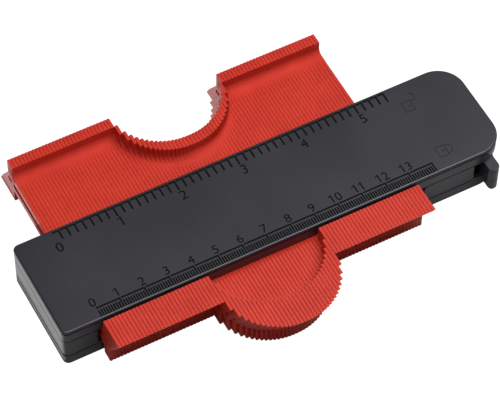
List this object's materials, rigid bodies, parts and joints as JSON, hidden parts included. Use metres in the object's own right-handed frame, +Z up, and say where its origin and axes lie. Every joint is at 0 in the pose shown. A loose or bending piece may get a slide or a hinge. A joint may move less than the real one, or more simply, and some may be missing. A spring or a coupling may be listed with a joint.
{
  "type": "contour gauge",
  "caption": "Contour gauge: a row of thin sliding leaves between two covers takes up the outline of an object, and a cam lever locks them in place.",
  "frame": {"origin": "centre of the body's underside, on the flat face that it lies on", "axes": "+X along the row of leaves towards the lock lever, +Y to the back, +Z up through the scales"},
  "size_m": [0.1852, 0.1228, 0.021],
  "materials": {
    "cover": "dark grey moulded ABS with a fine satin texture",
    "leaf": "red moulded ABS, satin",
    "steel": "plain zinc-plated steel"
  },
  "bodies": {
    "body": {"top_cover": "cover", "bottom_cover": "cover", "guide_bar": "steel", "lever_pin": "steel", "cover_screws": "steel"},
    "lever": {"lock_lever": "cover"},
    "block": {"pressure_block": "cover"},
    "leaves_01": {"leaf_pair_01": "leaf"},
    "leaves_02": {"leaf_pair_02": "leaf"},
    "leaves_03": {"leaf_pair_03": "leaf"},
    "leaves_04": {"leaf_pair_04": "leaf"},
    "leaves_05": {"leaf_pair_05": "leaf"},
    "leaves_06": {"leaf_pair_06": "leaf"},
    "leaves_07": {"leaf_pair_07": "leaf"},
    "leaves_08": {"leaf_pair_08": "leaf"},
    "leaves_09": {"leaf_pair_09": "leaf"},
    "leaves_10": {"leaf_pair_10": "leaf"},
    "leaves_11": {"leaf_pair_11": "leaf"},
    "leaves_12": {"leaf_pair_12": "leaf"},
    "leaves_13": {"leaf_pair_13": "leaf"},
    "leaves_14": {"leaf_pair_14": "leaf"},
    "leaves_15": {"leaf_pair_15": "leaf"},
    "leaves_16": {"leaf_pair_16": "leaf"},
    "leaves_17": {"leaf_pair_17": "leaf"},
    "leaves_18": {"leaf_pair_18": "leaf"},
    "leaves_19": {"leaf_pair_19": "leaf"},
    "leaves_20": {"leaf_pair_20": "leaf"},
    "leaves_21": {"leaf_pair_21": "leaf"},
    "leaves_22": {"leaf_pair_22": "leaf"},
    "leaves_23": {"leaf_pair_23": "leaf"},
    "leaves_24": {"leaf_pair_24": "leaf"},
    "leaves_25": {"leaf_pair_25": "leaf"},
    "leaves_26": {"leaf_pair_26": "leaf"},
    "leaves_27": {"leaf_pair_27": "leaf"},
    "leaves_28": {"leaf_pair_28": "leaf"},
    "leaves_29": {"leaf_pair_29": "leaf"},
    "leaves_30": {"leaf_pair_30": "leaf"},
    "leaves_31": {"leaf_pair_31": "leaf"},
    "leaves_32": {"leaf_pair_32": "leaf"},
    "leaves_33": {"leaf_pair_33": "leaf"},
    "leaves_34": {"leaf_pair_34": "leaf"},
    "leaves_35": {"leaf_pair_35": "leaf"},
    "leaves_36": {"leaf_pair_36": "leaf"},
    "leaves_37": {"leaf_pair_37": "leaf"},
    "leaves_38": {"leaf_pair_38": "leaf"},
    "leaves_39": {"leaf_pair_39": "leaf"},
    "leaves_40": {"leaf_pair_40": "leaf"},
    "leaves_41": {"leaf_pair_41": "leaf"},
    "leaves_42": {"leaf_pair_42": "leaf"},
    "leaves_43": {"leaf_pair_43": "leaf"},
    "leaves_44": {"leaf_pair_44": "leaf"},
    "leaves_45": {"leaf_pair_45": "leaf"},
    "leaves_46": {"leaf_pair_46": "leaf"}
  },
  "joints": [
    {"name": "lever_turn", "type": "hinge", "parent": "body", "child": "lever", "pos_m": [0.085, 0, 0.0105], "axis": [0, 0, 1], "range_deg": [0, 180]},
    {"name": "block_press", "type": "slide", "parent": "body", "child": "block", "axis": [-1, 0, 0], "range_m": [0, 0.0007]},
    {"name": "slide_01", "type": "slide", "parent": "body", "child": "leaves_01", "axis": [0, -1, 0], "range_m": [0, 0.03025]},
    {"name": "slide_02", "type": "slide", "parent": "body", "child": "leaves_02", "axis": [0, -1, 0], "range_m": [0, 0.03025]},
    {"name": "slide_03", "type": "slide", "parent": "body", "child": "leaves_03", "axis": [0, -1, 0], "range_m": [0, 0.03025]},
    {"name": "slide_04", "type": "slide", "parent": "body", "child": "leaves_04", "axis": [0, -1, 0], "range_m": [0, 0.03025]},
    {"name": "slide_05", "type": "slide", "parent": "body", "child": "leaves_05", "axis": [0, -1, 0], "range_m": [0, 0.03025]},
    {"name": "slide_06", "type": "slide", "parent": "body", "child": "leaves_06", "axis": [0, -1, 0], "range_m": [0, 0.03025]},
    {"name": "slide_07", "type": "slide", "parent": "body", "child": "leaves_07", "axis": [0, -1, 0], "range_m": [0, 0.03025]},
    {"name": "slide_08", "type": "slide", "parent": "body", "child": "leaves_08", "axis": [0, -1, 0], "range_m": [0, 0.03025]},
    {"name": "slide_09", "type": "slide", "parent": "body", "child": "leaves_09", "axis": [0, -1, 0], "range_m": [0, 0.03025]},
    {"name": "slide_10", "type": "slide", "parent": "body", "child": "leaves_10", "axis": [0, -1, 0], "range_m": [0, 0.03025]},
    {"name": "slide_11", "type": "slide", "parent": "body", "child": "leaves_11", "axis": [0, -1, 0], "range_m": [0, 0.03025]},
    {"name": "slide_12", "type": "slide", "parent": "body", "child": "leaves_12", "axis": [0, -1, 0], "range_m": [0, 0.03025]},
    {"name": "slide_13", "type": "slide", "parent": "body", "child": "leaves_13", "axis": [0, -1, 0], "range_m": [0, 0.03025]},
    {"name": "slide_14", "type": "slide", "parent": "body", "child": "leaves_14", "axis": [0, -1, 0], "range_m": [0, 0.03025]},
    {"name": "slide_15", "type": "slide", "parent": "body", "child": "leaves_15", "axis": [0, -1, 0], "range_m": [0, 0.03025]},
    {"name": "slide_16", "type": "slide", "parent": "body", "child": "leaves_16", "axis": [0, -1, 0], "range_m": [-0.00427, 0.02206]},
    {"name": "slide_17", "type": "slide", "parent": "body", "child": "leaves_17", "axis": [0, -1, 0], "range_m": [-0.01074, 0.01755]},
    {"name": "slide_18", "type": "slide", "parent": "body", "child": "leaves_18", "axis": [0, -1, 0], "range_m": [-0.01429, 0.01465]},
    {"name": "slide_19", "type": "slide", "parent": "body", "child": "leaves_19", "axis": [0, -1, 0], "range_m": [-0.01672, 0.01259]},
    {"name": "slide_20", "type": "slide", "parent": "body", "child": "leaves_20", "axis": [0, -1, 0], "range_m": [-0.01845, 0.01113]},
    {"name": "slide_21", "type": "slide", "parent": "body", "child": "leaves_21", "axis": [0, -1, 0], "range_m": [-0.01967, 0.01014]},
    {"name": "slide_22", "type": "slide", "parent": "body", "child": "leaves_22", "axis": [0, -1, 0], "range_m": [-0.02045, 0.00956]},
    {"name": "slide_23", "type": "slide", "parent": "body", "child": "leaves_23", "axis": [0, -1, 0], "range_m": [-0.02084, 0.00935]},
    {"name": "slide_24", "type": "slide", "parent": "body", "child": "leaves_24", "axis": [0, -1, 0], "range_m": [-0.02086, 0.00935]},
    {"name": "slide_25", "type": "slide", "parent": "body", "child": "leaves_25", "axis": [0, -1, 0], "range_m": [-0.02051, 0.00952]},
    {"name": "slide_26", "type": "slide", "parent": "body", "child": "leaves_26", "axis": [0, -1, 0], "range_m": [-0.01977, 0.01006]},
    {"name": "slide_27", "type": "slide", "parent": "body", "child": "leaves_27", "axis": [0, -1, 0], "range_m": [-0.01861, 0.011]},
    {"name": "slide_28", "type": "slide", "parent": "body", "child": "leaves_28", "axis": [0, -1, 0], "range_m": [-0.01693, 0.01241]},
    {"name": "slide_29", "type": "slide", "parent": "body", "child": "leaves_29", "axis": [0, -1, 0], "range_m": [-0.01458, 0.01439]},
    {"name": "slide_30", "type": "slide", "parent": "body", "child": "leaves_30", "axis": [0, -1, 0], "range_m": [-0.0112, 0.01719]},
    {"name": "slide_31", "type": "slide", "parent": "body", "child": "leaves_31", "axis": [0, -1, 0], "range_m": [-0.00532, 0.02145]},
    {"name": "slide_32", "type": "slide", "parent": "body", "child": "leaves_32", "axis": [0, -1, 0], "range_m": [0, 0.03025]},
    {"name": "slide_33", "type": "slide", "parent": "body", "child": "leaves_33", "axis": [0, -1, 0], "range_m": [0, 0.03025]},
    {"name": "slide_34", "type": "slide", "parent": "body", "child": "leaves_34", "axis": [0, -1, 0], "range_m": [0, 0.03025]},
    {"name": "slide_35", "type": "slide", "parent": "body", "child": "leaves_35", "axis": [0, -1, 0], "range_m": [0, 0.03025]},
    {"name": "slide_36", "type": "slide", "parent": "body", "child": "leaves_36", "axis": [0, -1, 0], "range_m": [0, 0.03025]},
    {"name": "slide_37", "type": "slide", "parent": "body", "child": "leaves_37", "axis": [0, -1, 0], "range_m": [0, 0.03025]},
    {"name": "slide_38", "type": "slide", "parent": "body", "child": "leaves_38", "axis": [0, -1, 0], "range_m": [0, 0.03025]},
    {"name": "slide_39", "type": "slide", "parent": "body", "child": "leaves_39", "axis": [0, -1, 0], "range_m": [0, 0.03025]},
    {"name": "slide_40", "type": "slide", "parent": "body", "child": "leaves_40", "axis": [0, -1, 0], "range_m": [0, 0.03025]},
    {"name": "slide_41", "type": "slide", "parent": "body", "child": "leaves_41", "axis": [0, -1, 0], "range_m": [0, 0.03025]},
    {"name": "slide_42", "type": "slide", "parent": "body", "child": "leaves_42", "axis": [0, -1, 0], "range_m": [0, 0.03025]},
    {"name": "slide_43", "type": "slide", "parent": "body", "child": "leaves_43", "axis": [0, -1, 0], "range_m": [0, 0.03025]},
    {"name": "slide_44", "type": "slide", "parent": "body", "child": "leaves_44", "axis": [0, -1, 0], "range_m": [0, 0.03025]},
    {"name": "slide_45", "type": "slide", "parent": "body", "child": "leaves_45", "axis": [0, -1, 0], "range_m": [0, 0.03025]},
    {"name": "slide_46", "type": "slide", "parent": "body", "child": "leaves_46", "axis": [0, -1, 0], "range_m": [0, 0.03025]}
  ],
  "couplings": [
    {"joint": "lever_turn", "follows": "block_press", "rad_per_m": 4485}
  ]
}
